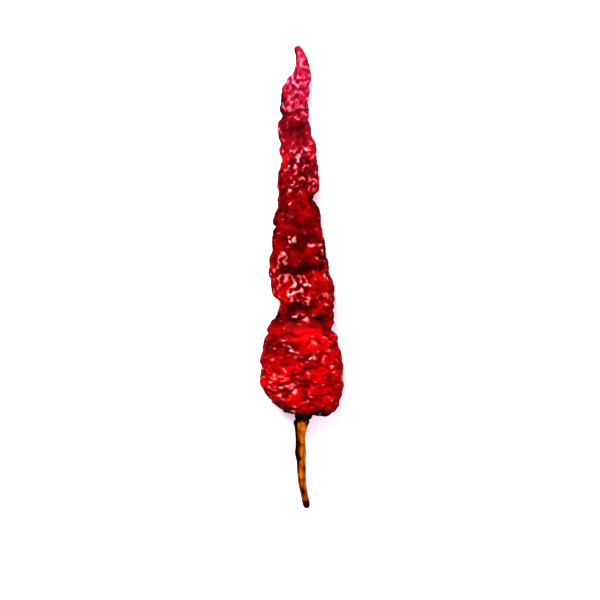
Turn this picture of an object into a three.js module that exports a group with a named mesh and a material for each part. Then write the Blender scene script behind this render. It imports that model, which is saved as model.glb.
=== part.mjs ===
// A whole dried red chilli, lying on its side as it rests on a table.
//
// The pod is a long, flattened, shrivelled pouch: square shoulders at the stalk end, a full bulb, an
// oblique waist, a slim upper half and a small bent tip. Its skin is crossed by a few deep folds and
// covered by crumpled ridges. The calyx is a small dry cup with five teeth, set in the hollow between
// the shoulders, and the stalk is a thin grooved rod that bends down towards the table.
//
// Units are millimetres. +Y runs from the stalk to the tip, +X is the chilli's right as seen from
// above with the tip away, +Z is up, and the origin is on the table under the middle of the chilli.

import * as THREE from "three";
import { ImprovedNoise } from "three/addons/math/ImprovedNoise.js";

// ---- Driving dimensions ----

const SHOULDER_Y = -44.4; // the lip of the shoulders, which distances along the chilli start from
const MIDLINE_X = 0.3; // the line that sideways offsets are measured from
const SKIN_RINGS = 118;
const SKIN_COLUMNS = 40;
const OUTLINE_STEPS = 40; // steps that measure the outline between two pod stations
const SQUARENESS = 2.25; // exponent of the pod's superelliptic section, 2 being a plain ellipse

// Each pod station: distance from the shoulder lip, sideways offset of the middle, half width, half
// thickness, height of the middle, and lean, the mm that its right side is shifted along the pod for
// each mm to the right.
const POD_STATIONS = [
  [4.3, 0.3, 0.0, 0.0, 8.3, 0.0], // floor of the hollow that holds the calyx
  [4.0, 0.3, 3.9, 3.4, 8.3, 0.0],
  [1.9, 0.5, 5.7, 5.0, 8.4, -0.04],
  [0.9, 0.9, 6.9, 5.9, 8.5, -0.06], // shoulder lip
  [1.9, 1.2, 8.4, 7.0, 8.5, -0.07],
  [4.1, 1.0, 10.6, 8.0, 8.6, -0.07],
  [7.4, 0.3, 12.6, 8.6, 8.6, -0.04],
  [12.0, -0.4, 13.3, 9.0, 8.7, 0.0], // fullest part of the bulb
  [19.2, -0.6, 12.7, 8.8, 8.5, 0.0],
  [26.5, -0.4, 11.1, 7.9, 7.6, 0.0],
  [33.4, 0.6, 9.3, 6.9, 6.6, 0.0], // waist
  [40.3, 0.2, 9.8, 6.7, 6.4, 0.0],
  [46.5, -0.8, 9.6, 6.5, 6.2, 0.0],
  [54.4, -1.2, 8.5, 5.9, 5.6, 0.0],
  [62.1, -1.4, 7.6, 5.4, 5.2, 0.0],
  [69.1, -1.4, 6.4, 4.9, 4.8, 0.0], // neck
  [76.0, -1.1, 6.5, 4.8, 4.8, 0.0],
  [85.1, -1.6, 5.9, 4.5, 4.7, 0.0],
  [92.2, -2.5, 5.3, 4.1, 4.6, 0.0],
  [99.8, -2.5, 4.5, 3.7, 4.6, 0.0],
  [105.8, -1.8, 4.4, 3.3, 4.7, 0.0],
  [110.8, 0.0, 2.8, 2.4, 5.0, 0.0], // root of the bent tip
  [114.6, -0.3, 2.0, 1.8, 5.2, 0.0],
  [117.6, -1.3, 1.3, 1.1, 5.3, 0.0],
  [118.7, -1.4, 0.0, 0.0, 5.3, 0.0],
];

// Each fold of the skin: distance from the lip where it crosses the middle line, slant in mm along the
// pod for each mm to the right, depth (negative for a raised lip), half width of the groove, the
// direction it faces (degrees, 0 to the right and 90 up) and how far round it reaches on each side.
const FOLDS = [
  { at: 34.8, slant: 0.0, depth: 1.7, reach: 3.0, faces: 180, spread: 70 }, // waist, left flank
  { at: 34.6, slant: -0.1, depth: 1.2, reach: 2.2, faces: 100, spread: 45 }, // waist, hollow on top
  { at: 30.9, slant: -0.1, depth: 1.0, reach: 2.0, faces: 50, spread: 40 }, // waist, hollow on the right
  { at: 28.8, slant: -0.1, depth: 0.8, reach: 1.5, faces: 5, spread: 50 }, // waist, right edge
  { at: 32.6, slant: -0.2, depth: 0.9, reach: 2.6, faces: 270, spread: 80 }, // waist, underneath
  { at: 47.4, slant: 0.15, depth: 0.9, reach: 2.1, faces: 95, spread: 60 }, // collar crease
  { at: 44.9, slant: 0.05, depth: -0.35, reach: 1.0, faces: 112, spread: 40 }, // lip under the collar crease
  { at: 68.6, slant: 0.2, depth: 1.1, reach: 1.8, faces: 5, spread: 55 }, // neck
  { at: 63.1, slant: 0.3, depth: 0.7, reach: 0.9, faces: 180, spread: 35 }, // neck, left edge
  { at: 96.3, slant: 0.1, depth: 0.5, reach: 1.1, faces: 150, spread: 90 }, // below the tip
  { at: 88.5, slant: 0.0, depth: 0.8, reach: 4.6, faces: 80, spread: 38 }, // upper hollow
  { at: 54.8, slant: 0.1, depth: 0.9, reach: 5.0, faces: 66, spread: 36 }, // middle hollow
  { at: 56.0, slant: 0.3, depth: 0.8, reach: 2.0, faces: 235, spread: 75 }, // underneath
  { at: 79.0, slant: -0.3, depth: 0.7, reach: 1.8, faces: 215, spread: 70 }, // left flank
  { at: 17.5, slant: 0.2, depth: 0.6, reach: 1.6, faces: 200, spread: 55 }, // bulb, left flank
];

const FOLD_TAPER = 0.6; // share of a fold's reach round the pod over which it comes to full depth

// Each set of crumpled ridges: spacing along the pod, spacing round it, height of the crests and where
// its pattern starts.
const RIDGES = [
  { along: 4.6, round: 8.5, height: 0.7, start: 3.7 },
  { along: 2.7, round: 5.5, height: 0.4, start: 9.1 },
];
const CREST_SHARPNESS = 2.2; // how fast the skin drops beside a crest
const CREST_ROUNDING = 1.5;
const DIMPLE_DEPTH = 0.35; // the skin between the crests, below the smooth pod
const BULB_END = [24, 36]; // where the tight skin of the bulb gives way to the crumpled skin
const BULB_RIDGES = 0.6; // share of the ridge height on the bulb
const TIP_FADE = [0.8, 3.0]; // half thicknesses between which the ridges come to full height

// Each calyx ring: distance from the shoulder lip, radius, and how much of the teeth it carries.
const CALYX_RINGS = [
  [-0.9, 0.0, 0],
  [-0.9, 2.2, 0],
  [-0.3, 2.6, 0],
  [0.6, 2.75, 0.05],
  [1.3, 2.9, 0.15],
  [1.9, 3.2, 0.45],
  [2.2, 3.7, 1],
  [2.6, 3.7, 1],
  [2.95, 2.7, 0.3],
  [3.1, 1.4, 0],
  [3.1, 0.0, 0],
];
const CALYX_COLUMNS = 40;
const CALYX_MIDDLE = [0.35, 8.3]; // sideways offset and height of the cup's axis
const CALYX_TEETH = 5;
const TOOTH_SHIFT = 0.25; // unevenness of the teeth's places, in radians
const TOOTH_LENGTH = 0.75;
const TOOTH_GAP_DEPTH = 0.26; // how far the rim draws in between two teeth
const CALYX_FLATTENING = 0.86; // height of the cup over its width

// Each stalk station: distance from the shoulder lip, sideways offset, height, radius.
const STALK_STATIONS = [
  [-1.2, 0.05, 8.3, 2.2],
  [-1.9, -0.1, 8.2, 2.35],
  [-3.3, -0.3, 7.95, 1.95],
  [-5.6, -0.55, 7.45, 1.55],
  [-9.4, -0.65, 6.6, 1.5],
  [-12.0, -0.7, 6.0, 1.7], // small knot
  [-14.6, -0.45, 5.3, 1.4],
  [-18.2, -0.3, 4.4, 1.3],
  [-22.2, 0.05, 3.6, 1.2],
  [-25.6, 0.7, 3.0, 1.1],
  [-28.0, 1.2, 2.7, 1.15],
  [-29.3, 1.35, 2.6, 0.95],
  [-29.9, 1.4, 2.6, 0.55],
];
const STALK_RINGS = 44;
const STALK_COLUMNS = 18;
const STALK_GROOVES = 5;
const GROOVE_DEPTH = 0.11; // share of the stalk's radius
const STALK_TWIST = 0.05; // turn of the grooves along the stalk, in radians for each mm

// ---- Shape helpers ----

const noise = new ImprovedNoise();

// The point at a distance along the chilli, an offset to the right and a height over the table.
function pointAt(distance, offset, height) {
  return new THREE.Vector3(MIDLINE_X + offset, SHOULDER_Y + distance, height);
}

// Smooth curve through the rows of a table, one component for each column, at t from 0 to 1.
function rowAt(rows, t) {
  const place = Math.min(t, 1) * (rows.length - 1);
  const i = Math.min(Math.floor(place), rows.length - 2);
  const before = rows[Math.max(i - 1, 0)];
  const after = rows[Math.min(i + 2, rows.length - 1)];
  const f = place - i;
  return rows[i].map((a, k) => {
    const b = rows[i + 1][k];
    const inSlope = (b - before[k]) / 2;
    const outSlope = (after[k] - a) / 2;
    const bend = 3 * (b - a) - 2 * inSlope - outSlope;
    const twist = 2 * (a - b) + inSlope + outSlope;
    return a + f * (inSlope + f * (bend + f * twist));
  });
}

// The same curve at count places that are evenly spaced along its outline, which the first column and
// the column of the given number draw.
function evenRows(rows, count, across) {
  const fine = OUTLINE_STEPS * rows.length;
  const samples = Array.from({ length: fine + 1 }, (_, i) => rowAt(rows, i / fine));
  const run = [0];
  for (let i = 1; i <= fine; i++) {
    const step = Math.hypot(
      samples[i][0] - samples[i - 1][0],
      samples[i][across] - samples[i - 1][across],
    );
    run.push(run[i - 1] + step);
  }
  const even = [];
  let i = 0;
  for (let n = 0; n < count; n++) {
    const wanted = (run[fine] * (n + 0.5)) / count;
    while (run[i + 1] < wanted) {
      i++;
    }
    even.push(rowAt(rows, (i + (wanted - run[i]) / (run[i + 1] - run[i])) / fine));
  }
  return even;
}

// A closed skin over rings of points, each ring closed on itself, with a point over each end. Each
// four-sided patch is split along its shorter diagonal.
function skinOver(rings, start, end) {
  const columns = rings[0].length;
  const positions = [...rings.flat(), start, end].flatMap((p) => p.toArray());
  const faces = [];
  const at = (ring, column) => ring * columns + (column % columns);
  const startIndex = rings.length * columns;
  for (let j = 0; j < columns; j++) {
    faces.push(startIndex, at(0, j), at(0, j + 1));
    faces.push(startIndex + 1, at(rings.length - 1, j + 1), at(rings.length - 1, j));
    for (let i = 0; i < rings.length - 1; i++) {
      const patch = [at(i, j), at(i + 1, j), at(i + 1, j + 1), at(i, j + 1)];
      const next = (j + 1) % columns;
      const forward = rings[i][j].distanceTo(rings[i + 1][next]);
      const backward = rings[i + 1][j].distanceTo(rings[i][next]);
      const [a, b, c, d] = forward < backward ? patch : [...patch.slice(1), patch[0]];
      faces.push(a, b, c, a, c, d);
    }
  }
  const geometry = new THREE.BufferGeometry();
  geometry.setAttribute("position", new THREE.Float32BufferAttribute(positions, 3));
  geometry.setIndex(faces);
  return geometry;
}

// The outward direction of a grid of rings at one of its points.
function outward(rings, i, j) {
  const columns = rings[i].length;
  const along = rings[Math.min(i + 1, rings.length - 1)][j]
    .clone()
    .sub(rings[Math.max(i - 1, 0)][j]);
  const round = rings[i][(j + 1) % columns].clone().sub(rings[i][(j + columns - 1) % columns]);
  return along.cross(round).normalize();
}

// ---- Pod ----

function superellipse(angle) {
  const power = 2 / SQUARENESS;
  const c = Math.cos(angle);
  const s = Math.sin(angle);
  return [Math.sign(c) * Math.abs(c) ** power, Math.sign(s) * Math.abs(s) ** power];
}

// How deep the folds press the skin in at a place on it.
function foldDepth(distance, sideways, angle) {
  let depth = 0;
  for (const fold of FOLDS) {
    const off = (distance - fold.at - fold.slant * sideways) / fold.reach;
    const turn = THREE.MathUtils.euclideanModulo(
      THREE.MathUtils.radToDeg(angle) - fold.faces + 180,
      360,
    );
    const round = THREE.MathUtils.clamp(1 - Math.abs(turn - 180) / fold.spread, 0, 1);
    depth += fold.depth * Math.exp(-off * off) * THREE.MathUtils.smoothstep(round, 0, FOLD_TAPER);
  }
  return depth;
}

// Crumpled ridges: narrow crests where a noise crosses zero, with broad dimples between them.
function ridgeHeight(point, distance, halfThickness) {
  let height = -DIMPLE_DEPTH;
  for (const { along, round, height: crest, start } of RIDGES) {
    const n = noise.noise(point.x / round + start, point.y / along, point.z / round - start);
    height += crest * (1 - Math.min(1, Math.abs(n) * CREST_SHARPNESS)) ** CREST_ROUNDING;
  }
  const pastBulb = THREE.MathUtils.smoothstep(distance, ...BULB_END);
  const beforeTip = THREE.MathUtils.smoothstep(halfThickness, ...TIP_FADE);
  return height * THREE.MathUtils.lerp(BULB_RIDGES, 1, pastBulb) * beforeTip;
}

function podGeometry() {
  const rows = evenRows(POD_STATIONS, SKIN_RINGS, 2);
  const angles = Array.from({ length: SKIN_COLUMNS }, (_, j) => (2 * Math.PI * j) / SKIN_COLUMNS);
  const smooth = rows.map(([distance, offset, halfWidth, halfThickness, height, lean]) =>
    angles.map((angle) => {
      const [right, up] = superellipse(angle);
      const sideways = halfWidth * right;
      return pointAt(distance + lean * sideways, offset + sideways, height + halfThickness * up);
    }),
  );
  const skin = smooth.map((ring, i) =>
    ring.map((point, j) => {
      const [distance, offset, , halfThickness] = rows[i];
      const inward = foldDepth(distance, point.x - MIDLINE_X - offset, angles[j]);
      const lift = ridgeHeight(point, distance, halfThickness) - inward;
      const moved = point.clone().addScaledVector(outward(smooth, i, j), lift);
      moved.z = Math.max(moved.z, 0); // the skin is pressed flat where it rests on the table
      return moved;
    }),
  );
  const [floor, tip] = [POD_STATIONS[0], POD_STATIONS[POD_STATIONS.length - 1]];
  return skinOver(skin, pointAt(floor[0], floor[1], floor[4]), pointAt(tip[0], tip[1], tip[4]));
}

// ---- Calyx ----

// How far the rim stands out at an angle round the cup: five blunt teeth of uneven length and place.
function toothReach(angle) {
  const wave = Math.cos(CALYX_TEETH * (angle + TOOTH_SHIFT * Math.sin(angle)));
  const uneven = 1 + 0.35 * Math.sin(2 * angle + 0.8) + 0.2 * Math.sin(angle - 0.6);
  return wave > 0 ? TOOTH_LENGTH * uneven * wave : TOOTH_GAP_DEPTH * wave;
}

function calyxGeometry() {
  const [offset, height] = CALYX_MIDDLE;
  const rings = CALYX_RINGS.slice(1, -1).map(([distance, radius, teeth]) =>
    Array.from({ length: CALYX_COLUMNS }, (_, j) => {
      const angle = (2 * Math.PI * j) / CALYX_COLUMNS;
      const reach = radius + teeth * toothReach(angle);
      return pointAt(
        distance,
        offset + reach * Math.cos(angle),
        height + reach * CALYX_FLATTENING * Math.sin(angle),
      );
    }),
  );
  const [first, last] = [CALYX_RINGS[0], CALYX_RINGS[CALYX_RINGS.length - 1]];
  return skinOver(rings, pointAt(first[0], offset, height), pointAt(last[0], offset, height));
}

// ---- Stalk ----

function stalkGeometry() {
  const rows = Array.from({ length: STALK_RINGS }, (_, i) =>
    rowAt(STALK_STATIONS, 1 - i / (STALK_RINGS - 1)),
  );
  const rings = rows.map(([distance, offset, height, radius]) =>
    Array.from({ length: STALK_COLUMNS }, (_, j) => {
      const angle = (2 * Math.PI * j) / STALK_COLUMNS;
      const groove = 1 - GROOVE_DEPTH * Math.cos(STALK_GROOVES * (angle + STALK_TWIST * distance));
      const reach = radius * groove;
      return pointAt(distance, offset + reach * Math.cos(angle), height + reach * Math.sin(angle));
    }),
  );
  const [end, root] = [rows[0], rows[rows.length - 1]];
  return skinOver(rings, pointAt(end[0], end[1], end[2]), pointAt(root[0], root[1], root[2]));
}

// ---- The chilli ----

function piece(name, geometry, color, roughness) {
  const mesh = new THREE.Mesh(
    geometry,
    new THREE.MeshStandardMaterial({ color, roughness, metalness: 0 }),
  );
  mesh.name = name;
  return mesh;
}

const chilli = new THREE.Group();
chilli.name = "dried_chilli";
chilli.add(
  piece("pod", podGeometry(), 0xa3090f, 0.35),
  piece("calyx", calyxGeometry(), 0x3a1c0c, 0.75),
  piece("stalk", stalkGeometry(), 0xb4701f, 0.65),
);

export default chilli;
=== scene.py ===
"""A whole dried red chilli lying on a white table.

The measured solids give the size and the place of the pod, the calyx and the stalk. This script dresses
them: the pod gets its shrivelled skin, which is grown and crumpled like the real one, and the calyx and
the stalk get their teeth, ribs, grooves and dry plant tissue.
"""

import bpy
import numpy as np
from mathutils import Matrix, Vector


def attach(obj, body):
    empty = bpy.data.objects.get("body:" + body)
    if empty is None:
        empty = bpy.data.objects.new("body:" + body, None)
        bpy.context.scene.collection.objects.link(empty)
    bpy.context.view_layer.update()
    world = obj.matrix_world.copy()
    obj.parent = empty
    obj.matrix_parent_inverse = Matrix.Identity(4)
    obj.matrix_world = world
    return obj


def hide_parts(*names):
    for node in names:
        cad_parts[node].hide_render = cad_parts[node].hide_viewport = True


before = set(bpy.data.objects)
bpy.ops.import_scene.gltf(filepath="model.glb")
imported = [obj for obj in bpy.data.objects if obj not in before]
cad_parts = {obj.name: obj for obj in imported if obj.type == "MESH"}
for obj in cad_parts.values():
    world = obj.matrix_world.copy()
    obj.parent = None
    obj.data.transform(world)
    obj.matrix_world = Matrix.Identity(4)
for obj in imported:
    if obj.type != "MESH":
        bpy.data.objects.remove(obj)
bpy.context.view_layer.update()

MM = 0.001  # every table below is in millimetres

# ---- Sizes of the pod. Its stations and large folds are the same as those of its solid. ----

SHOULDER_Y = -44.4  # the lip of the shoulders, which distances along the chilli start from
MIDLINE_X = 0.3  # the line that sideways offsets are measured from
SQUARENESS = 2.25  # exponent of the superelliptic section
SECTION_ASPECT = 1.4  # its usual width to its thickness

# Distance from the lip, sideways offset, half width, half thickness, height of the middle, lean.
POD_STATIONS = np.array([
    (4.3, 0.3, 0.0, 0.0, 8.3, 0.0),  # floor of the hollow that holds the calyx
    (4.0, 0.3, 3.9, 3.4, 8.3, 0.0),
    (1.9, 0.5, 5.7, 5.0, 8.4, -0.04),
    (0.9, 0.9, 6.9, 5.9, 8.5, -0.06),  # shoulder lip
    (1.9, 1.2, 8.4, 7.0, 8.5, -0.07),
    (4.1, 1.0, 10.6, 8.0, 8.6, -0.07),
    (7.4, 0.3, 12.6, 8.6, 8.6, -0.04),
    (12.0, -0.4, 13.3, 9.0, 8.7, 0.0),  # fullest part of the bulb
    (19.2, -0.6, 12.7, 8.8, 8.5, 0.0),
    (26.5, -0.4, 11.1, 7.9, 7.6, 0.0),
    (33.4, 0.6, 9.3, 6.9, 6.6, 0.0),  # waist
    (40.3, 0.2, 9.8, 6.7, 6.4, 0.0),
    (46.5, -0.8, 9.6, 6.5, 6.2, 0.0),
    (54.4, -1.2, 8.5, 5.9, 5.6, 0.0),
    (62.1, -1.4, 7.6, 5.4, 5.2, 0.0),
    (69.1, -1.4, 6.4, 4.9, 4.8, 0.0),  # neck
    (76.0, -1.1, 6.5, 4.8, 4.8, 0.0),
    (85.1, -1.6, 5.9, 4.5, 4.7, 0.0),
    (92.2, -2.5, 5.3, 4.1, 4.6, 0.0),
    (99.8, -2.5, 4.5, 3.7, 4.6, 0.0),
    (105.8, -1.8, 4.4, 3.3, 4.7, 0.0),
    (110.8, 0.0, 2.8, 2.4, 5.0, 0.0),  # root of the bent tip
    (114.6, -0.3, 2.0, 1.8, 5.2, 0.0),
    (117.6, -1.3, 1.3, 1.1, 5.3, 0.0),
    (118.7, -1.4, 0.0, 0.0, 5.3, 0.0),
])
DISTANCE, OFFSET, HALF_WIDTH, HALF_THICKNESS, HEIGHT, LEAN = range(6)

# Distance along, slant, depth, half width of the groove, direction it faces and spread round the pod.
# A negative depth is a raised lip. The three crests are too fine for the solid, and only the skin has them.
FOLDS = (
    (34.8, 0.0, 1.7, 3.0, 180, 70),  # waist, left flank
    (34.6, -0.1, 1.2, 2.2, 100, 45),  # waist, hollow on top
    (30.9, -0.1, 1.0, 2.0, 50, 40),  # waist, hollow on the right
    (28.8, -0.1, 0.8, 1.5, 5, 50),  # waist, right edge
    (32.6, -0.2, 0.9, 2.6, 270, 80),  # waist, underneath
    (47.4, 0.15, 0.9, 2.1, 95, 60),  # collar crease
    (44.9, 0.05, -0.35, 1.0, 112, 40),  # lip under the collar crease
    (38.7, -0.45, -0.3, 0.6, 80, 22),  # crests on the collar
    (37.0, 0.0, -0.3, 0.7, 98, 26),
    (55.3, -0.3, -0.55, 0.95, 92, 60),  # crest on the middle
    (68.6, 0.2, 1.1, 1.8, 5, 55),  # neck
    (63.1, 0.3, 0.7, 0.9, 180, 35),  # neck, left edge
    (96.3, 0.1, 0.5, 1.1, 150, 90),  # below the tip
    (88.5, 0.0, 0.8, 4.6, 80, 38),  # upper hollow
    (54.8, 0.1, 0.9, 5.0, 66, 36),  # middle hollow
    (56.0, 0.3, 0.8, 2.0, 235, 75),  # underneath
    (79.0, -0.3, 0.7, 1.8, 215, 70),  # left flank
    (17.5, 0.2, 0.6, 1.6, 200, 55),  # bulb, left flank
)
FOLD_TAPER = 0.6  # share of a fold's spread over which it comes to full depth
FOLD_STRAY, FOLD_UNEVENNESS = 1.2, 0.35  # how far folds wander, in mm, and how much their depth varies

# Size, depth and seed of the lumps that seeds and ribs leave in the skin.
LUMPS = ((10.0, 0.4, 41), (4.0, 0.35, 42), (2.0, 0.12, 43))
SHRINKAGE = 0.25  # how far the flesh lies under the solid's skin
FURROW_PITCH, FURROW_DEPTH = 3.6, 0.45  # wavy furrows across the bulb
PIT_SIZE, SLIM_PIT_SIZE = 1.9, np.array((1.25, 1.55, 1.25))  # pits between the crests, finer past the waist
PIT_DEPTH = 0.45

BULB_END = (26.0, 38.0)  # distances over which the bulb passes into the waist
SLIM_BEGIN = (33.0, 39.0)  # those over which the finer pits and crests of the slim part begin
TIP_BEGIN = (86.0, 98.0)  # those over which the softer skin of the tip begins

# Distance along, sideways place, half length, half width and depth of the darker patches of the skin:
# painted shade in the collar crease, the waist hollows, down the flanks and under the lip, and a darker tone
# elsewhere.
# A negative depth is a brighter patch.
SHADE_AND_TONE_PATCHES = (
    # Painted shade in the collar crease and the waist hollows.
    (47.3, 2.2, 1.2, 3.6, 1.1),  # collar crease
    (46.0, -2.2, 1.1, 3.6, 1.3),
    (34.8, -1.1, 1.3, 3.0, 0.6),  # waist
    (30.9, 5.6, 1.6, 3.0, 1.0),
    (30.8, -5.0, 2.2, 5.5, 0.8),
    (54.0, 0.0, 9.0, 9.0, 0.2),  # middle
    (58.0, -6.0, 8.0, 3.0, 0.3),
    (51.0, 7.5, 6.0, 2.0, 0.5),
    (53.5, -3.0, 2.5, 3.5, 0.45),
    (53.5, 1.8, 2.0, 2.0, -0.3),
    (58.3, -2.6, 2.4, 3.0, 0.5),
    (63.9, 2.1, 4.0, 4.0, 0.5),
    (67.8, -6.2, 4.0, 2.5, 0.4),
    (78.0, 0.0, 9.0, 9.0, 0.2),  # upper part
    (79.1, -1.2, 2.5, 2.6, 0.4),
    (92.0, -2.8, 4.2, 5.0, 0.9),
    # Painted shade down the flanks of the upper part and at the edges of the bent tip.
    (100.0, -6.8, 6.0, 1.5, 1.2),
    (98.5, 1.8, 1.0, 0.9, 1.2),
    (115.6, -2.3, 2.6, 0.8, 1.0),  # edges of the bent tip
    (112.8, 1.7, 2.8, 0.8, 0.9),
    (12.0, 0.0, 9.0, 14.0, -0.42),  # bulb
    (23.0, -7.5, 3.0, 4.5, 0.5),
    (19.6, -0.7, 1.1, 4.5, 0.5),
    (16.0, 3.1, 1.2, 4.0, 0.6),
    (10.5, 2.8, 0.9, 4.0, 0.6),
    (6.6, 1.2, 1.0, 2.3, 0.6),
    # Painted shade under the lip of the shoulders.
    (1.2, 5.0, 1.3, 5.0, 1.8),  # underside of the lip
    (1.3, 4.6, 1.6, 2.2, 0.8),
    (1.8, -5.0, 1.4, 2.6, 1.6),
    (4.7, -8.7, 1.5, 2.2, 0.6),
    (26.2, 1.6, 1.8, 4.0, -0.7),
    (23.5, 3.2, 2.2, 4.0, -0.6),
    (24.8, 8.0, 2.8, 3.0, -0.7),
    (40.3, 6.3, 5.0, 3.2, -0.3),
    (37.7, -4.9, 2.5, 3.0, -0.5),
    (12.8, 8.8, 8.0, 3.5, -0.2),
    (6.3, 5.6, 3.0, 4.5, -0.3),
    (9.6, -7.5, 3.6, 5.0, -0.1),
)

# The same, with a strength for the depth, for the places where the skin is most rumpled and glossiest, and
# where its crests get painted highlights as pale flecks.
GLEAMS = (
    (113.0, 0.0, 4.0, 3.0, 1.2),  # tip
    (106.5, -2.0, 4.0, 5.5, 1.25),
    (98.5, -2.5, 3.4, 5.5, 1.3),
    (84.6, -1.2, 2.6, 4.2, 1.08),  # upper part
    (79.3, -1.6, 2.6, 4.6, 0.98),
    (74.0, 3.2, 3.2, 1.8, 1.1),
    (72.5, -2.5, 2.6, 2.2, 0.9),
    (56.0, -3.6, 1.1, 2.6, 1.5),  # middle
    (54.4, 2.2, 0.8, 2.6, 1.8),
    (50.5, -6.0, 3.2, 1.8, 1.2),
    (52.0, 5.6, 2.0, 2.0, 0.7),
    (44.3, -6.3, 1.5, 3.0, 1.0),  # collar
    (40.0, -1.6, 4.0, 4.2, 1.4),
    (44.2, 7.6, 1.4, 1.2, 1.6),
    (37.8, 7.2, 1.5, 1.8, 1.6),
    (31.2, -1.2, 1.3, 2.6, 1.7),  # waist
    (24.2, 5.0, 1.8, 2.4, 0.9),  # bulb
    (21.5, -3.8, 1.4, 2.0, 0.8),
    (18.5, 5.6, 1.5, 2.8, 0.8),
    (13.2, -10.0, 1.8, 2.2, 0.8),
    (9.2, -3.6, 2.2, 3.0, 1.0),
    (0.8, 1.7, 0.8, 0.5, 0.9),
)

# The same for pale painted highlights along ridges that are too low for the relief.
PAINTED_RIDGE_HIGHLIGHTS = (
    (116.2, -1.2, 1.8, 0.5, 0.55),  # down the bent tip
    (113.6, -0.2, 1.6, 0.6, 0.65),
)

# The same for the places where the skin is stretched and lies smooth.
TAUT = (
    (90.5, -2.0, 4.0, 3.6, 0.6),
    (63.0, 0.8, 5.0, 5.6, 0.85),
    (51.2, 0.5, 2.8, 4.5, 0.8),
    (41.5, 5.4, 6.0, 3.6, 0.5),
    (29.5, -4.8, 3.4, 4.0, 0.7),
    (27.0, 2.4, 2.4, 4.5, 0.9),
)

# ---- Shape helpers ----

OUTLINE_STEPS = 40  # steps that measure an outline between two stations
BROAD = 12  # times that a skin is averaged to find the broad form under its wrinkles


def smoothstep(value, low, high):
    """0 up to low, 1 from high on, and a smooth rise between them."""
    t = np.clip((value - low) / (high - low), 0, 1)
    return t * t * (3 - 2 * t)


def row_at(rows, t):
    """Smooth curve through the rows of a table at places t from 0 to 1."""
    place = np.minimum(t, 1) * (len(rows) - 1)
    i = np.minimum(place.astype(int), len(rows) - 2)
    f = (place - i)[:, None]
    a, b = rows[i], rows[i + 1]
    leave = (b - rows[np.maximum(i - 1, 0)]) / 2
    arrive = (rows[np.minimum(i + 2, len(rows) - 1)] - a) / 2
    return a + f * (leave + f * (3 * (b - a) - 2 * leave - arrive + f * (2 * (a - b) + leave + arrive)))


def even_rows(rows, count, across):
    """The same curve at count places spaced evenly along the outline that two columns draw."""
    t = np.linspace(0, 1, OUTLINE_STEPS * len(rows) + 1)
    fine = row_at(rows, t)
    run = np.cumsum(np.hypot(np.diff(fine[:, 0]), np.diff(fine[:, across])))
    run = np.concatenate([[0], run])
    wanted = run[-1] * (np.arange(count) + 0.5) / count
    return row_at(rows, np.interp(wanted, run, t))


def place(distance, offset, height):
    """Points of the chilli from distances along it, offsets to the right and heights."""
    return np.stack(np.broadcast_arrays(MIDLINE_X + offset, SHOULDER_Y + distance, height), -1)


def length(vectors):
    """Length of each vector in an array of them."""
    return np.sqrt(np.einsum("...k,...k->...", vectors, vectors))


def outward(skin):
    """Outward directions of a grid of rings."""
    along = np.empty_like(skin)
    along[1:-1] = skin[2:] - skin[:-2]
    along[0], along[-1] = skin[1] - skin[0], skin[-1] - skin[-2]
    across = np.cross(along, np.roll(skin, -1, 1) - np.roll(skin, 1, 1))
    return across / np.maximum(length(across), 1e-9)[..., None]


def patchiness(points, seed):
    """Smooth noise of about -1 to 1 over points, one cell to a unit."""
    cell = np.floor(points).astype(np.int64)
    part = points - cell
    ease = part * part * part * (part * (6 * part - 15) + 10)
    total = 0
    for corner in np.ndindex(2, 2, 2):
        x, y, z = (cell[..., k] + corner[k] for k in range(3))
        code = (x * 73856093) ^ (y * 19349663) ^ (z * 83492791) ^ (seed * 2654435761)
        code = ((code ^ (code >> 13)) * 1274126177) & 0x7FFFFFFF
        code = ((code ^ (code >> 16)) * 668265263) & 0x7FFFFFFF
        rise, share = 0, 1
        for k in range(3):
            rise = rise + (part[..., k] - corner[k]) * (((code >> (9 * k)) & 511) / 255.5 - 1)
            share = share * (ease[..., k] if corner[k] else 1 - ease[..., k])
        total = total + share * rise
    return 1.7 * total


def blurred(values, times):
    """A grid of rings averaged with its neighbours along and round."""
    for _ in range(times):
        padded = np.concatenate([values[:1], values, values[-1:]])
        values = (padded[:-2] + 2 * values + padded[2:]) / 4
        values = (np.roll(values, 1, 1) + 2 * values + np.roll(values, -1, 1)) / 4
    return values


def marked(points, patches):
    """How strongly each point is marked by a table of patches, which lie on the side that faces up."""
    distance, sideways = points[..., 1] - SHOULDER_Y, points[..., 0] - MIDLINE_X
    total = 0
    for at, aside, long, wide, strength in patches:
        total = total + strength * np.exp(-((distance - at) / long) ** 2 - ((sideways - aside) / wide) ** 2)
    return total * smoothstep(outward(blurred(points, BROAD))[..., 2], -0.6, 0.2)


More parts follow.
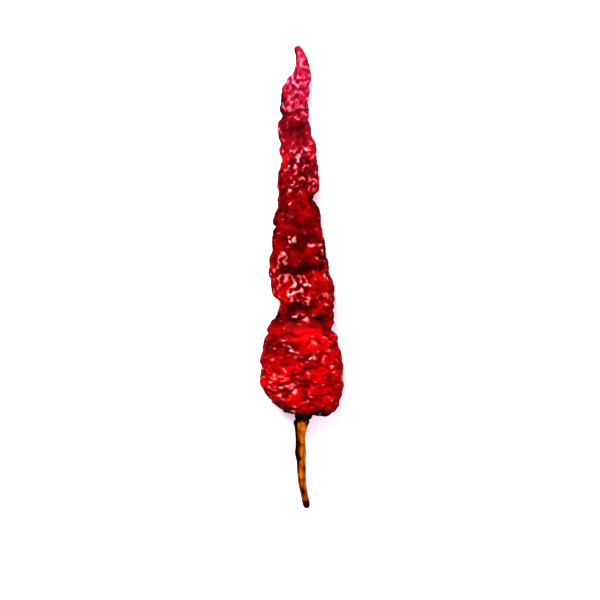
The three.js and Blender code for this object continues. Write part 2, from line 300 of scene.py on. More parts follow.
def piece_from_rings(name, rings, start, end, node):
    """A closed mesh over rings of points in mm, with a point over each end, that replaces a node."""
    count, columns = rings.shape[:2]
    points = np.concatenate([rings.reshape(-1, 3), [start, end]]) * MM
    i, j = np.meshgrid(np.arange(count - 1), np.arange(columns), indexing="ij")
    k = (j + 1) % columns
    quads = np.stack([i * columns + j, (i + 1) * columns + j, (i + 1) * columns + k, i * columns + k], -1)
    column = np.arange(columns)
    after = (column + 1) % columns
    first, last = count * columns, (count - 1) * columns
    fans = np.concatenate([
        np.stack([np.full(columns, first), column, after], -1),
        np.stack([np.full(columns, first + 1), last + after, last + column], -1),
    ])
    corners = np.concatenate([quads.ravel(), fans.ravel()])
    sides = np.concatenate([np.full(quads.size // 4, 4), np.full(len(fans), 3)])
    mesh = bpy.data.meshes.new(name)
    mesh.vertices.add(len(points))
    mesh.vertices.foreach_set("co", points.ravel())
    mesh.loops.add(len(corners))
    mesh.loops.foreach_set("vertex_index", corners)
    mesh.polygons.add(len(sides))
    mesh.polygons.foreach_set("loop_start", np.cumsum(sides) - sides)
    mesh.polygons.foreach_set("use_smooth", np.ones(len(sides), bool))
    mesh.update(calc_edges=True)
    mesh.validate()
    piece = bpy.data.objects.new(name, mesh)
    bpy.context.scene.collection.objects.link(piece)
    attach(piece, "root")
    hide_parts(node)
    return piece


def paint(piece, name, values, start, end):
    """A number for each point of a piece made from rings, for its material to read."""
    layer = piece.data.attributes.new(name, "FLOAT", "POINT")
    layer.data.foreach_set("value", np.concatenate([values.ravel(), [start, end]]).astype(np.float32))


# ---- Material helpers ----

MIX_A, MIX_B, MIX_RESULT = 6, 7, 2  # sockets of a colour mix


def colour(code):
    """An sRGB hex value as linear red, green, blue and alpha."""
    channels = (int(code[i:i + 2], 16) / 255 for i in (1, 3, 5))
    return (*(c / 12.92 if c <= 0.04045 else ((c + 0.055) / 1.055) ** 2.4 for c in channels), 1.0)


def add(tree, kind, inputs=None, **settings):
    """Adds a node with its settings. inputs gives each socket a value or the output it is linked to."""
    made = tree.nodes.new(kind)
    for name, value in settings.items():
        setattr(made, name, value)
    for socket, value in (inputs or {}).items():
        if isinstance(value, bpy.types.NodeSocket):
            tree.links.new(value, made.inputs[socket])
        else:
            made.inputs[socket].default_value = value
    return made


def new_material(name):
    """A material, its nodes and its surface shader."""
    made = bpy.data.materials.new(name)
    made.use_nodes = True
    return made, made.node_tree, made.node_tree.nodes["Principled BSDF"]


# ---- The pod ----

RINGS, COLUMNS = 544, 176
HOLLOW_END = (0.012, 0.045)  # shares of the outline over which the skin comes free of the hollow
TIP_START = (0.975, 0.995)  # and over which it is held again at the very tip
FIRM, FIRM_SLANTED = 0.9, 0.72  # firmness of the struts along and round, and of the slanted ones
MOST_BEND = 0.05  # the largest share of its curl that stiffness takes away in a step
GLIDE, GLIDE_KEPT = 0.4, 0.99  # how far the skin glides over the flesh, in mm, and what a step keeps of it
FLECK_SIZE, BULB_FLECK_SIZE = 1.6, np.array((1.5, 0.95, 1.5))  # those of the bulb are longer across
FLECK_SHARE = 1.1  # how much the marked places add to the flecks
CREST_HEIGHT, SLIM_CREST_HEIGHT = 0.25, 0.21  # in mm, of a full crest before and past the waist
CALM = 0.3  # share of the relief that the skin stretches out
FLANK_CALM = 0.4  # share of the dents that the flanks lack
FINE, COARSE = 2, 20  # times that the skin is averaged to keep its crests, and to take them away


def section(angles):
    """Places to the right and upward on the superelliptic section, from -1 to 1."""
    right, up = np.cos(angles), np.sin(angles)
    return (
        np.sign(right) * np.abs(right) ** (2 / SQUARENESS),
        np.sign(up) * np.abs(up) ** (2 / SQUARENESS),
    )


def even_angles(columns):
    """Angles round the superelliptic section that are evenly spaced along its outline."""
    fine = np.linspace(0, 2 * np.pi, 3601)
    right, up = section(fine)
    run = np.concatenate([[0], np.cumsum(np.hypot(SECTION_ASPECT * np.diff(right), np.diff(up)))])
    return np.interp(run[-1] * np.arange(columns) / columns, run, fine)


def looseness(rows):
    """How freely each ring of the skin moves: not at all in the hollow and at the very tip."""
    share = (np.arange(len(rows))[:, None] + 0.5) / len(rows)
    return smoothstep(share, *HOLLOW_END) * (1 - smoothstep(share, *TIP_START))


def smooth_pod(rings, columns):
    """The flesh before the skin crumples: the stations' form, with its deep folds and its lumps."""
    rows = even_rows(POD_STATIONS, rings, HALF_WIDTH)
    angles = even_angles(columns)
    right, up = section(angles)
    row = [rows[:, k:k + 1] for k in range(6)]
    sideways = row[HALF_WIDTH] * right
    flesh = place(
        row[DISTANCE] + row[LEAN] * sideways,
        row[OFFSET] + sideways,
        row[HEIGHT] + row[HALF_THICKNESS] * up,
    )
    stray = FOLD_STRAY * patchiness(flesh / 5, 91)
    uneven = 1 + FOLD_UNEVENNESS * patchiness(flesh / 4, 92)
    sunk = np.zeros(sideways.shape)
    for at, slant, deep, reach, faces, spread in FOLDS:
        off = (row[DISTANCE] - at - slant * sideways + stray) / reach
        turn = np.abs((np.degrees(angles) - faces + 180) % 360 - 180)
        sunk += deep * uneven * np.exp(-off * off) * smoothstep(1 - turn / spread, 0, FOLD_TAPER)
    flesh = np.round(flesh - outward(flesh) * sunk[..., None], 6)
    lumpy = -SHRINKAGE
    for size, high, seed in LUMPS:
        lumpy = lumpy + high * patchiness(flesh / size, seed)
    bulb = 1 - smoothstep(row[DISTANCE], *BULB_END)
    wander = 0.8 * patchiness(flesh / 7, 51) + 0.3 * patchiness(flesh / 2.6, 52)
    furrow = smoothstep(np.sin(2 * np.pi * (row[DISTANCE] / FURROW_PITCH + wander)), 0.1, 1)
    furrow = furrow * smoothstep(patchiness(flesh / 4, 53), -0.6, 0.3) * (1 - 0.7 * right ** 4)
    lumpy = lumpy - FURROW_DEPTH * bulb * furrow
    rumpled = np.clip(marked(flesh, GLEAMS) + 0.7 * smoothstep(patchiness(flesh / 9, 55), 0, 0.6), 0, 1)
    slim = smoothstep(row[DISTANCE], *SLIM_BEGIN)
    pits = patchiness(flesh / PIT_SIZE, 54) * (1 - slim) + patchiness(flesh / SLIM_PIT_SIZE, 54) * slim
    tip = smoothstep(row[DISTANCE], *TIP_BEGIN)
    lumpy = lumpy - PIT_DEPTH * (1 - 0.35 * tip) * rumpled * smoothstep(pits, -0.1, 0.5)
    lumpy = lumpy * smoothstep(row[HALF_THICKNESS], 0.8, 3) * looseness(rows)
    flesh = flesh + outward(flesh) * lumpy[..., None]
    flesh[..., 2] = np.maximum(flesh[..., 2], 0)
    return flesh, rows


def twice_as_fine(grid):
    """A grid of rings with twice the rings and twice the columns."""
    padded = np.concatenate([grid[:1], grid, grid[-1:]])
    finer = np.empty((2 * len(grid), *grid.shape[1:]))
    finer[0::2] = 0.25 * padded[:-2] + 0.75 * padded[1:-1]
    finer[1::2] = 0.75 * padded[1:-1] + 0.25 * padded[2:]
    doubled = np.empty((2 * len(grid), 2 * grid.shape[1], 3))
    doubled[:, 0::2] = finer
    doubled[:, 1::2] = (finer + np.roll(finer, -1, 1)) / 2
    return doubled


def to_length(a, b, wanted, firmness):
    """The move that brings points a and b, each going half the way, to the wanted distance."""
    apart = b - a
    return apart * (0.5 * firmness * (1 - wanted / np.maximum(length(apart), 1e-5)))[..., None]


def crumple(flesh, skin, rows, growth, bend, lowest, highest, push, pull, steps, ramp):
    """Crumples a skin that is too large for the flesh under it.

    The skin is a net of struts, each longer by its growth than the flesh below it. Bending is resisted
    by bend, in mm^4, and the flesh holds the skin between lowest and highest, in mm, and leaves push of
    a dent and pull of a crest in a step. The growth comes in over the first ramp of the steps.
    """
    flesh, skin = flesh.astype(np.float32), skin.astype(np.float32)
    growth_along, growth_round = (part.astype(np.float32) for part in growth)
    free, normal = looseness(rows).astype(np.float32)[..., None], outward(flesh)
    along, around = flesh[1:] - flesh[:-1], np.roll(flesh, -1, 1) - flesh
    along_length, around_length = length(along), length(around)
    shear = np.einsum("ijk,ijk->ij", along, around[:-1])
    mean_along = (growth_along[1:] + growth_along[:-1]) / 2
    mean_round = (growth_round[1:] + growth_round[:-1]) / 2
    stiff_along = np.minimum(bend / float(along_length.mean()) ** 4, MOST_BEND)[..., None]
    stiff_round = np.clip(bend / np.maximum(around_length, 0.05) ** 4, 0, MOST_BEND)[..., None]
    stiff_along, stiff_round = stiff_along.astype(np.float32), stiff_round.astype(np.float32)
    for step in range(steps):
        grown = min(1, (step + 1) / max(1, ramp * steps))
        if step % 8 == 0:
            longer, wider = 1 + mean_along * grown, 1 + mean_round * grown
            struts_along = along_length * longer
            struts_round = around_length * (1 + growth_round * grown)
            squares = struts_along ** 2 + (around_length[:-1] * wider) ** 2
            struts_rising = np.sqrt(np.maximum(squares + 2 * longer * wider * shear, 1e-8))
            struts_falling = np.sqrt(np.maximum(squares - 2 * longer * wider * shear, 1e-8))
        for first in (0, 1):
            low, high = skin[first:-1:2], skin[first + 1::2]
            move = to_length(low, high, struts_along[first::2], FIRM)
            low += move
            high -= move
        move = to_length(skin[:, 0::2], skin[:, 1::2], struts_round[:, 0::2], FIRM)
        skin[:, 0::2] += move
        skin[:, 1::2] -= move
        move = to_length(skin[:, 1::2], np.roll(skin[:, 0::2], -1, 1), struts_round[:, 1::2], FIRM)
        skin[:, 1::2] += move
        skin[:, 0::2] -= np.roll(move, 1, 1)
        for first in (0, 1):
            low, high = skin[first:-1:2], skin[first + 1::2]
            move = to_length(low, np.roll(high, -1, 1), struts_rising[first::2], FIRM_SLANTED)
            low += move
            high -= np.roll(move, 1, 1)
            move = to_length(np.roll(low, -1, 1), high, struts_falling[first::2], FIRM_SLANTED)
            low += np.roll(move, 1, 1)
            high -= move
        shift = skin - flesh
        padded = np.concatenate([shift[:1], shift[:1], shift, shift[-1:], shift[-1:]])
        curl_along = padded[:-4] - 4 * padded[1:-3] + 6 * shift - 4 * padded[3:-1] + padded[4:]
        neighbours = np.roll(shift, 1, 1) + np.roll(shift, -1, 1)
        beyond = np.roll(shift, 2, 1) + np.roll(shift, -2, 1)
        shift = shift - stiff_along * curl_along - stiff_round * (beyond - 4 * neighbours + 6 * shift)
        height = np.einsum("ijk,ijk->ij", shift, normal)
        sideways = shift - normal * height[..., None]
        height = np.clip(height * np.where(height < 0, push, pull), lowest, highest)
        sideways *= GLIDE_KEPT * np.minimum(1, GLIDE / np.maximum(length(sideways), 1e-6))[..., None]
        skin = flesh + (normal * height[..., None] + sideways) * free
        skin[..., 2] = np.maximum(skin[..., 2], 0)
    return skin.astype(float)


def growth_over(flesh, rows, along, around, in_bulb, slim):
    """How much larger than the flesh the skin is, along and round, at each of its points.

    The bulb wrinkles mostly across, with in_bulb times the growth, the tip less than the rest, and
    parts thinner than slim don't wrinkle.
    """
    bulb = 1 - smoothstep(rows[:, :1], *BULB_END)
    tip = smoothstep(rows[:, :1], *TIP_BEGIN)
    uneven = 1 + 0.5 * patchiness(flesh / 7, 21) + 0.25 * patchiness(flesh / 3, 31)
    uneven = uneven * (1 + (in_bulb - 1) * bulb) * (1 - np.minimum(marked(flesh, TAUT), 1))
    uneven = uneven * smoothstep(rows[:, HALF_THICKNESS:HALF_THICKNESS + 1], *slim)
    return along * uneven * (1 - 0.5 * tip), around * uneven * (1 - 0.65 * bulb)


def bend_over(flesh, rows, bend):
    """Stiffness of the skin in mm^4: stiffer on the bulb, softer at the tip and uneven everywhere."""
    bulb = 1 - smoothstep(rows[:, :1], *BULB_END)
    tip = smoothstep(rows[:, :1], *TIP_BEGIN)
    return bend * (1 + bulb) * (1 - 0.6 * tip) * 2 ** (1.5 * patchiness(flesh / 6, 77))


def shrivelled_pod():
    """The pod's skin: broad dents first, then ridges, and last the fine wrinkles of the ridges."""
    draw = np.random.default_rng(7)
    rings, columns = RINGS // 4, COLUMNS // 4

    smooth, rows = smooth_pod(rings, columns)
    started = smooth + outward(smooth) * draw.normal(0, 0.05, (rings, columns, 1))
    dented = crumple(
        smooth, started, rows,
        growth_over(smooth, rows, along=0.05, around=0.03, in_bulb=1.0, slim=(2.6, 4.2)),
        bend_over(smooth, rows, 0.12),
        lowest=-0.9, highest=0.3, push=0.99, pull=0.97, steps=200, ramp=0.6,
    )
    dents = twice_as_fine(dented - smooth)

    rings, columns = 2 * rings, 2 * columns
    smooth, rows = smooth_pod(rings, columns)
    flesh = smooth + dents
    started = flesh + outward(flesh) * draw.normal(0, 0.02, (rings, columns, 1))
    ridged = crumple(
        flesh, started, rows,
        growth_over(flesh, rows, along=0.11, around=0.06, in_bulb=1.5, slim=(0.8, 2.6)),
        bend_over(flesh, rows, 0.002),
        lowest=-0.35, highest=0.4, push=0.98, pull=0.985, steps=250, ramp=0.6,
    )
    ridges = twice_as_fine(ridged - smooth)

    smooth, rows = smooth_pod(RINGS, COLUMNS)
    flesh = smooth + twice_as_fine(dents)
    skin = crumple(
        flesh, smooth + ridges, rows,
        growth_over(flesh, rows, along=0.16, around=0.09, in_bulb=1.3, slim=(0.8, 2.6)),
        bend_over(flesh, rows, 0.0003),
        lowest=-0.35, highest=0.4, push=0.98, pull=0.985, steps=120, ramp=0,
    )
    calm = 1 - (1 - CALM) * (1 - 0.7 * np.minimum(marked(flesh, TAUT), 1))
    tip = smoothstep(rows[:, :1], *TIP_BEGIN)
    calm = calm * (1 - tip)
    flank = smoothstep(np.abs(outward(blurred(flesh, BROAD))[..., 2]), 0.5, 0.1)[..., None]
    skin = skin - twice_as_fine(dents) * FLANK_CALM * flank
    skin = flesh + blurred(skin - flesh, 1) * (1 - calm)[..., None]
    skin[..., 2] = np.maximum(skin[..., 2], 0)
    return skin, rows


def pod_skin_material():
    """Dried chilli skin: a thin waxy cuticle, shrivelled, that gleams on each crest.

    It is a deep clear red where one layer is stretched, with a darker tone in patches, and painted shade
    near black in its creases, hollows and shaded flanks. Painted highlights lie as pale flecks on the
    crests, pinker towards the tip.
    """
    made, tree, skin = new_material("dried chilli skin")
    point = add(tree, "ShaderNodeTexCoord").outputs["Object"]
    crest = add(tree, "ShaderNodeAttribute", attribute_name="crest").outputs["Fac"]
    along = add(tree, "ShaderNodeAttribute", attribute_name="along").outputs["Fac"]
    painted_shade_and_tone = add(tree, "ShaderNodeAttribute", attribute_name="painted_shade_and_tone").outputs["Fac"]
    gleam = add(tree, "ShaderNodeAttribute", attribute_name="gleam").outputs["Fac"]

    # Clouds 4.5 mm across, where the skin is thicker or thinner.
    clouds = add(tree, "ShaderNodeTexNoise", {
        "Vector": point, "Scale": 1 / (4.5 * MM), "Detail": 4.0, "Roughness": 0.7,
    })
    cloudy = add(tree, "ShaderNodeMapRange", {
        "Value": clouds.outputs["Fac"], "From Min": 0.32, "From Max": 0.68, "To Min": 0.14, "To Max": 0.9,
    })
    # The painted shade and darker tone of the patches darken the clouds' red.
    clear = add(tree, "ShaderNodeMath", {
        0: painted_shade_and_tone, 1: -0.5, 2: cloudy.outputs["Result"],
    }, operation="MULTIPLY_ADD")
    tone = add(tree, "ShaderNodeValToRGB", {"Fac": clear.outputs["Value"]})
    stops = tone.color_ramp.elements
    stops[0].position, stops[0].color = 0.0, colour("#340006")
    stops[1].position, stops[1].color = 1.0, colour("#b00408")
    stops.new(0.5).color = colour("#740205")
    tip = add(tree, "ShaderNodeMapRange", {"Value": along, "From Min": 0.6, "From Max": 0.92})
    unshaded = add(tree, "ShaderNodeMapRange", {
        "Value": painted_shade_and_tone, "From Min": 0.1, "From Max": 1.0, "To Min": 0.7, "To Max": 0.1,
    })
    pinker = add(tree, "ShaderNodeMath", {
        0: tip.outputs["Result"], 1: unshaded.outputs["Result"],
    }, operation="MULTIPLY")
    tone = add(tree, "ShaderNodeMix", {
        "Factor": pinker.outputs["Value"], MIX_A: tone.outputs["Color"], MIX_B: colour("#9e2342"),
    }, data_type="RGBA")
    # Painted shade: near black in the creases, where the skin lies below its broad form.
    crease_shade = add(tree, "ShaderNodeMapRange", {
        "Value": crest, "From Min": -0.05, "From Max": -0.9, "To Max": 0.66,
    })
    tone = add(tree, "ShaderNodeMix", {
        "Factor": crease_shade.outputs["Result"], MIX_A: tone.outputs[MIX_RESULT], MIX_B: colour("#300004"),
    }, data_type="RGBA")

    # Painted highlights: pale pink flecks on the crests, paler in blotches 2.5 mm across. The same mask
    # gives the crests a glossy coat.
    highlight_blotches = add(tree, "ShaderNodeTexNoise", {"Vector": point, "Scale": 1 / (2.5 * MM), "Detail": 1.0})
    paler = add(tree, "ShaderNodeMapRange", {
        "Value": highlight_blotches.outputs["Fac"], "From Min": 0.35, "From Max": 0.65,
    })
    painted_highlight_colour = add(tree, "ShaderNodeMix", {
        "Factor": paler.outputs["Result"], MIX_A: colour("#dc4450"), MIX_B: colour("#ffa2a2"),
    }, data_type="RGBA")
    painted_highlight_colour = add(tree, "ShaderNodeMix", {
        "Factor": tip.outputs["Result"], MIX_A: painted_highlight_colour.outputs[MIX_RESULT], MIX_B: colour("#f06a8e"),
    }, data_type="RGBA")
    crested = add(tree, "ShaderNodeMapRange", {
        "Value": crest, "From Min": 0.1, "From Max": 0.9, "To Max": 0.9,
    })
    painted_highlight_and_coat = add(tree, "ShaderNodeMath", {0: crested.outputs["Result"], 1: gleam}, operation="MULTIPLY")
    tone = add(tree, "ShaderNodeMix", {
        "Factor": painted_highlight_and_coat.outputs["Value"], MIX_A: tone.outputs[MIX_RESULT], MIX_B: painted_highlight_colour.outputs[MIX_RESULT],
    }, data_type="RGBA")
    tree.links.new(tone.outputs[MIX_RESULT], skin.inputs["Base Color"])

    dull = add(tree, "ShaderNodeMapRange", {"Value": gleam, "To Min": 0.34, "To Max": 0.24})
    tree.links.new(dull.outputs["Result"], skin.inputs["Roughness"])
    waxy = add(tree, "ShaderNodeMapRange", {"Value": tip.outputs["Result"], "To Min": 1.0, "To Max": 0.4})
    coated = add(tree, "ShaderNodeMath", {
        0: waxy.outputs["Result"], 1: painted_highlight_and_coat.outputs["Value"],
    }, operation="MULTIPLY")
    tree.links.new(coated.outputs["Value"], skin.inputs["Coat Weight"])
    # The grain of the skin, drawn 0.7 mm across, because the real grain is too fine to show.
    leathery = add(tree, "ShaderNodeTexNoise", {"Vector": point, "Scale": 1 / (0.7 * MM), "Detail": 3.0})
    relief = add(tree, "ShaderNodeBump", {
        "Height": leathery.outputs["Fac"], "Strength": 0.35, "Distance": 0.1 * MM,
    })
    tree.links.new(relief.outputs["Normal"], skin.inputs["Normal"])
    skin.inputs["IOR"].default_value = 1.45
    skin.inputs["Specular IOR Level"].default_value = 0.12
    skin.inputs["Specular Tint"].default_value = (1, 0.15, 0.17, 1)
    skin.inputs["Coat Roughness"].default_value = 0.24
    skin.inputs["Coat IOR"].default_value = 1.7
    return made


def gleam_over(skin, rows):
    """Flecks of painted highlight and glossier coat: dense in the marked places, sparse elsewhere."""
    bulb = 1 - smoothstep(rows[:, :1], *BULB_END)
    flecks = patchiness(skin / FLECK_SIZE, 61) * (1 - bulb) + patchiness(skin / BULB_FLECK_SIZE, 61) * bulb
    flank = smoothstep(np.abs(outward(blurred(skin, BROAD))[..., 2]), 0.6, 0.2)
    dense = 0.36 + 0.7 * marked(skin, GLEAMS) - 0.3 * marked(skin, TAUT)
    dense = np.clip(dense, 0, 1.8) * (1 - 0.5 * flank)
    return smoothstep(flecks + FLECK_SHARE * dense, 0.6, 1.3)


def make_pod():
    """The pod in its shrivelled skin, with what its material reads painted on."""
    skin, rows = shrivelled_pod()
    floor, tip = POD_STATIONS[0], POD_STATIONS[-1]
    pod = piece_from_rings(
        "pod_skin", skin,
        place(floor[DISTANCE], floor[OFFSET], floor[HEIGHT]), place(tip[DISTANCE], tip[OFFSET], tip[HEIGHT]),
        "pod",
    )
    # The crest attribute sets painted shade in the creases and painted highlights on the crests.
    crests = blurred(skin, FINE)
    local = np.einsum("ijk,ijk->ij", crests - blurred(skin, COARSE), outward(crests))
    slim = smoothstep(rows[:, :1], *SLIM_BEGIN)
    full = CREST_HEIGHT + (SLIM_CREST_HEIGHT - CREST_HEIGHT) * slim
    paint(pod, "crest", np.clip(local / full + marked(skin, PAINTED_RIDGE_HIGHLIGHTS), -1, 1), 0, 0)
    along = np.broadcast_to(rows[:, :1] / tip[DISTANCE], skin.shape[:2])
    paint(pod, "along", along, 0, 1)
    # Painted shade and darker tone from the patches table.
    paint(pod, "painted_shade_and_tone", marked(skin, SHADE_AND_TONE_PATCHES), 0, 0)
    paint(pod, "gleam", gleam_over(skin, rows), 0, 0)
    pod.data.materials.append(pod_skin_material())


# ---- The calyx ----

# Distance from the lip, radius, share of the teeth.
CALYX_RINGS = np.array([
    (-0.9, 2.2, 0),
    (-0.3, 2.6, 0),
    (0.6, 2.75, 0.05),
    (1.3, 2.9, 0.15),
    (1.9, 3.2, 0.45),
    (2.2, 3.7, 1),
    (2.6, 3.7, 1),
    (2.95, 2.7, 0.3),
    (3.1, 1.4, 0),
])
CALYX_RING_COUNT, CALYX_COLUMNS = 90, 160
CALYX_ENDS = (-0.9, 3.1)  # distances of the points that close it
CALYX_MIDDLE = (0.35, 8.3)  # sideways offset and height of the cup's axis
CALYX_TEETH = 5
TOOTH_SHIFT = 0.25  # unevenness of the teeth's places, in radians
TOOTH_LENGTH, TOOTH_GAP_DEPTH = 0.75, 0.26
CALYX_FLATTENING = 0.86  # height of the cup over its width
RIB_HEIGHT = 0.05  # share of the cup's radius


def make_calyx():
    """The small dry cup, with five blunt teeth and a rib down each tooth and each gap."""
    rows = even_rows(CALYX_RINGS, CALYX_RING_COUNT, 1)
    angles = 2 * np.pi * np.arange(CALYX_COLUMNS) / CALYX_COLUMNS
    wave = np.cos(CALYX_TEETH * (angles + TOOTH_SHIFT * np.sin(angles)))
    uneven = 1 + 0.35 * np.sin(2 * angles + 0.8) + 0.2 * np.sin(angles - 0.6)
    tooth = np.where(wave > 0, TOOTH_LENGTH * uneven * wave, TOOTH_GAP_DEPTH * wave)
    ribs = RIB_HEIGHT * np.cos(2 * CALYX_TEETH * (angles + TOOTH_SHIFT * np.sin(angles)))
    distance, radius, teeth = (rows[:, k:k + 1] for k in range(3))
    reach = radius * (1 + ribs) + teeth * tooth
    offset, height = CALYX_MIDDLE
    rings = place(
        distance + 0 * angles, offset + reach * np.cos(angles),
        height + reach * CALYX_FLATTENING * np.sin(angles),
    )
    dry = 0.12 * patchiness(rings / 0.9, 5) + 0.06 * patchiness(rings / 0.4, 6)
    rings = rings + outward(rings) * dry[..., None]
    start, end = (place(distance, offset, height) for distance in CALYX_ENDS)
    calyx = piece_from_rings("calyx_cup", rings, start, end, "calyx")
    calyx.data.materials.append(calyx_material())


def calyx_material():
    """Dried calyx: thin leaf tissue gone brown and brittle, dull and mottled."""
    made, tree, tissue = new_material("dried calyx")
    point = add(tree, "ShaderNodeTexCoord").outputs["Object"]
    # Blotches of the dried tissue, 1.4 mm across.
    mottle = add(tree, "ShaderNodeTexNoise", {"Vector": point, "Scale": 1 / (1.4 * MM), "Detail": 5.0})
    spread = add(tree, "ShaderNodeMapRange", {
        "Value": mottle.outputs["Fac"], "From Min": 0.35, "From Max": 0.68,
    })
    tone = add(tree, "ShaderNodeMix", {
        "Factor": spread.outputs["Result"], MIX_A: colour("#0c0402"), MIX_B: colour("#3c1c0a"),
    }, data_type="RGBA")
    tree.links.new(tone.outputs[MIX_RESULT], tissue.inputs["Base Color"])
    relief = add(tree, "ShaderNodeBump", {
        "Height": mottle.outputs["Fac"], "Strength": 0.6, "Distance": 0.15 * MM,
    })
    tree.links.new(relief.outputs["Normal"], tissue.inputs["Normal"])
    tissue.inputs["Roughness"].default_value = 0.7
    return made


# ---- The stalk ----

# Distance from the lip, sideways offset, height, radius.
STALK_STATIONS = np.array([
    (-0.8, 0.1, 8.3, 2.1),
    (-1.9, -0.1, 8.2, 2.35),
    (-3.3, -0.3, 7.95, 1.95),
    (-5.6, -0.55, 7.45, 1.55),
    (-9.4, -0.65, 6.6, 1.5),
    (-12.0, -0.7, 6.0, 1.7),  # small knot
    (-14.6, -0.45, 5.3, 1.4),
    (-18.2, -0.3, 4.4, 1.3),
    (-22.2, 0.05, 3.6, 1.2),
    (-25.6, 0.7, 3.0, 1.1),
    (-28.0, 1.2, 2.7, 1.15),
    (-29.3, 1.35, 2.6, 0.95),
    (-29.9, 1.4, 2.6, 0.55),
])
# Distance along, place across in radii, half length, half width in radii and depth of its dark stains, and
# of the painted shade where it leaves the calyx.
STALK_STAINS_AND_SHADE = (
    # Painted shade where it leaves the calyx.
    (-0.9, 0.0, 0.9, 3.0, 1.0),  # where it leaves the calyx
    (-2.4, 0.9, 0.9, 0.5, 0.9),
    (-3.5, -0.9, 3.0, 0.5, 1.0),
    (-8.4, -0.7, 3.0, 0.65, 1.0),
    (-9.0, 0.4, 0.8, 0.6, 0.7),
    (-12.6, -0.7, 2.2, 0.7, 1.0),  # knot
    (-13.8, 0.1, 0.8, 0.5, 0.6),
    (-17.0, -0.9, 3.0, 0.5, 0.9),
    (-17.2, 0.85, 2.6, 0.35, 0.8),
    (-20.6, 0.0, 0.8, 1.5, 0.6),
    (-24.3, -0.2, 2.4, 0.9, 0.95),
    (-28.8, 0.0, 1.9, 2.5, 1.0),  # withered end
)
# The stray below moves the edges of the painted shade as well as those of the stains.
DARK_PATCH_STRAY = 0.6  # how far the edges of the stains wander, in mm
STALK_RINGS, STALK_COLUMNS = 300, 72
STALK_GROOVES = 5
GROOVE_DEPTH = 0.11  # share of the stalk's radius
STALK_TWIST = 0.05  # turn of the grooves along the stalk, in radians for each mm
END_DENT = 0.4  # how far the middle of the withered end is drawn in


def make_stalk():
    """The thin grooved stalk, from its withered end to where it leaves the calyx."""
    rows = row_at(STALK_STATIONS, np.linspace(1, 0, STALK_RINGS))
    angles = 2 * np.pi * np.arange(STALK_COLUMNS) / STALK_COLUMNS
    distance, offset, height, radius = (rows[:, k:k + 1] for k in range(4))
    turned = angles + STALK_TWIST * distance
    groove = 1 - GROOVE_DEPTH * np.cos(STALK_GROOVES * turned)
    fibre = patchiness(np.stack(np.broadcast_arrays(
        2.2 * np.cos(turned), 2.2 * np.sin(turned), distance / 7), -1), 3)
    fine = patchiness(np.stack(np.broadcast_arrays(
        5 * np.cos(turned), 5 * np.sin(turned), distance / 4), -1), 4)
    reach = radius * (groove + 0.07 * fibre + 0.04 * fine)
    rings = place(distance + 0 * angles, offset + reach * np.cos(angles), height + reach * np.sin(angles))
    end, root = rows[0], rows[-1]
    stalk = piece_from_rings(
        "stalk_rod", rings, place(end[0] + END_DENT, end[1], end[2]), place(root[0], root[1], root[2]),
        "stalk",
    )
    # Stains, and painted shade where it leaves the calyx.
    stain_and_shade = 0
    strayed = distance + DARK_PATCH_STRAY * patchiness(rings / 0.9, 8)
    for at, aside, long, wide, dark in STALK_STAINS_AND_SHADE:
        stain_and_shade = stain_and_shade + dark * np.exp(-((strayed - at) / long) ** 2 - ((np.cos(angles) - aside) / wide) ** 2)
    paint(stalk, "stain_and_shade", np.clip(stain_and_shade, 0, 1), 1, 1)
    paint(stalk, "groove", np.clip((reach / radius - 1) * 5, -1, 1), -1, 0)
    stalk.data.materials.append(stalk_material())


def stalk_material():
    """Dried stalk: woody fibre that bleached to a golden brown, with a dull satin surface.

    It has painted shade down the grooves and where it leaves the calyx, and is darker in its stains and at
    its withered end.
    """
    made, tree, fibre = new_material("dried stalk")
    point = add(tree, "ShaderNodeTexCoord").outputs["Object"]
    groove = add(tree, "ShaderNodeAttribute", attribute_name="groove").outputs["Fac"]
    stain_and_shade = add(tree, "ShaderNodeAttribute", attribute_name="stain_and_shade").outputs["Fac"]
    # Streaks of fibre 0.8 mm apart, coarser than the real ones so that they show.
    stretched = add(tree, "ShaderNodeMapping", {"Vector": point, "Scale": (1.0, 0.18, 1.0)})
    streaks = add(tree, "ShaderNodeTexNoise", {
        "Vector": stretched.outputs["Vector"], "Scale": 1 / (0.8 * MM), "Detail": 4.0,
    })
    streaky = add(tree, "ShaderNodeMapRange", {
        "Value": streaks.outputs["Fac"], "From Min": 0.36, "From Max": 0.64,
    })
    tone = add(tree, "ShaderNodeMix", {
        "Factor": streaky.outputs["Result"], MIX_A: colour("#8c4200"), MIX_B: colour("#cc8006"),
    }, data_type="RGBA")
    # Painted shade: darker brown down the grooves, by how deep they are.
    sunk = add(tree, "ShaderNodeMapRange", {
        "Value": groove, "From Min": 0.1, "From Max": -0.8, "To Max": 0.6,
    })
    tone = add(tree, "ShaderNodeMix", {
        "Factor": sunk.outputs["Result"], MIX_A: tone.outputs[MIX_RESULT], MIX_B: colour("#561c00"),
    }, data_type="RGBA")
    # Stains and painted shade: towards a near black brown.
    stain_and_shade_share = add(tree, "ShaderNodeMapRange", {"Value": stain_and_shade, "From Max": 0.9})
    tone = add(tree, "ShaderNodeMix", {
        "Factor": stain_and_shade_share.outputs["Result"], MIX_A: tone.outputs[MIX_RESULT], MIX_B: colour("#2c0200"),
    }, data_type="RGBA")
    tree.links.new(tone.outputs[MIX_RESULT], fibre.inputs["Base Color"])
    relief = add(tree, "ShaderNodeBump", {
        "Height": streaks.outputs["Fac"], "Strength": 0.5, "Distance": 0.12 * MM,
    })
    tree.links.new(relief.outputs["Normal"], fibre.inputs["Normal"])
    fibre.inputs["Roughness"].default_value = 0.5
    fibre.inputs["Specular IOR Level"].default_value = 0.2
    fibre.inputs["Specular Tint"].default_value = (1, 0.5, 0.3, 1)
    return made


# ---- Table, light and camera ----

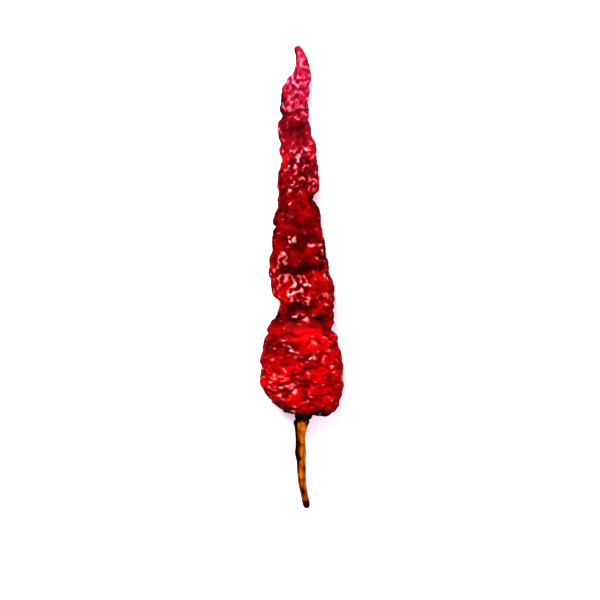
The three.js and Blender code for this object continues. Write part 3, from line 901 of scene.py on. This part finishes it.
VIEW_WIDTH = 600 * 0.3235 * MM  # what the view spans across the table
LENS, SENSOR = 100.0, 36.0  # focal length and width of the sensor
VIEW_MIDDLE = (-0.44 * MM, -7.36 * MM)
TABLE_REACH = 4.0  # in metres, from the chilli to each edge


def make_table():
    """A matt white table that runs out of sight on every side."""
    mesh = bpy.data.meshes.new("table")
    far = TABLE_REACH
    mesh.from_pydata([(-far, -far, 0), (far, -far, 0), (far, far, 0), (-far, far, 0)], [], [(0, 1, 2, 3)])
    table = bpy.data.objects.new("table", mesh)
    bpy.context.scene.collection.objects.link(table)
    made, _, surface = new_material("white card")
    surface.inputs["Base Color"].default_value = colour("#f4f2f4")
    surface.inputs["Roughness"].default_value = 0.9
    surface.inputs["Specular IOR Level"].default_value = 0.0
    mesh.materials.append(made)
    table.visible_glossy = False


def softbox(name, place_m, size, power, tint):
    """A square softbox that faces the chilli, with its place and size in metres and its power in watts."""
    light = bpy.data.lights.new(name, "AREA")
    light.size, light.energy, light.color = size, power, tint
    lamp = bpy.data.objects.new(name, light)
    bpy.context.scene.collection.objects.link(lamp)
    lamp.location = place_m
    lamp.rotation_euler = (-Vector(place_m)).to_track_quat("-Z", "Y").to_euler()
    return lamp


def make_light():
    """A key from the upper left, a broad fill without a gleam, and a pale room that gleams faintly."""
    softbox("key", (-0.18, 0.34, 0.55), size=0.3, power=4.5, tint=(1.0, 0.98, 0.96))
    fill = softbox("fill", (0.5, -0.2, 0.55), size=0.6, power=2.2, tint=(0.97, 0.9, 1.0))
    fill.visible_glossy = False
    world = bpy.data.worlds.new("studio")
    bpy.context.scene.world = world
    world.use_nodes = True
    tree = world.node_tree
    ray = add(tree, "ShaderNodeLightPath")
    seen = tree.nodes["Background"]
    seen.inputs["Color"].default_value = (1, 1, 1, 1)
    lit = add(tree, "ShaderNodeBackground", {"Color": (0.96, 0.89, 1.0, 1), "Strength": 0.8})
    mirrored = add(tree, "ShaderNodeBackground", {"Color": (0.93, 0.88, 1.0, 1), "Strength": 0.06})
    choice = add(tree, "ShaderNodeMixShader", {
        0: ray.outputs["Is Glossy Ray"], 1: lit.outputs["Background"], 2: mirrored.outputs["Background"],
    })
    choice = add(tree, "ShaderNodeMixShader", {
        0: ray.outputs["Is Camera Ray"], 1: choice.outputs["Shader"], 2: seen.outputs["Background"],
    })
    tree.links.new(choice.outputs["Shader"], tree.nodes["World Output"].inputs["Surface"])


def make_camera():
    """Straight above, with the tip away."""
    data = bpy.data.cameras.new("camera")
    data.lens, data.sensor_width = LENS, SENSOR
    data.clip_start, data.clip_end = 0.01, 20
    camera = bpy.data.objects.new("camera", data)
    bpy.context.scene.collection.objects.link(camera)
    camera.location = (*VIEW_MIDDLE, VIEW_WIDTH * LENS / SENSOR)
    bpy.context.scene.camera = camera


make_camera()
make_table()
make_light()
make_pod()
make_calyx()
make_stalk()
bpy.context.scene.view_settings.view_transform = "Standard"
bpy.context.scene.view_settings.look = "High Contrast"
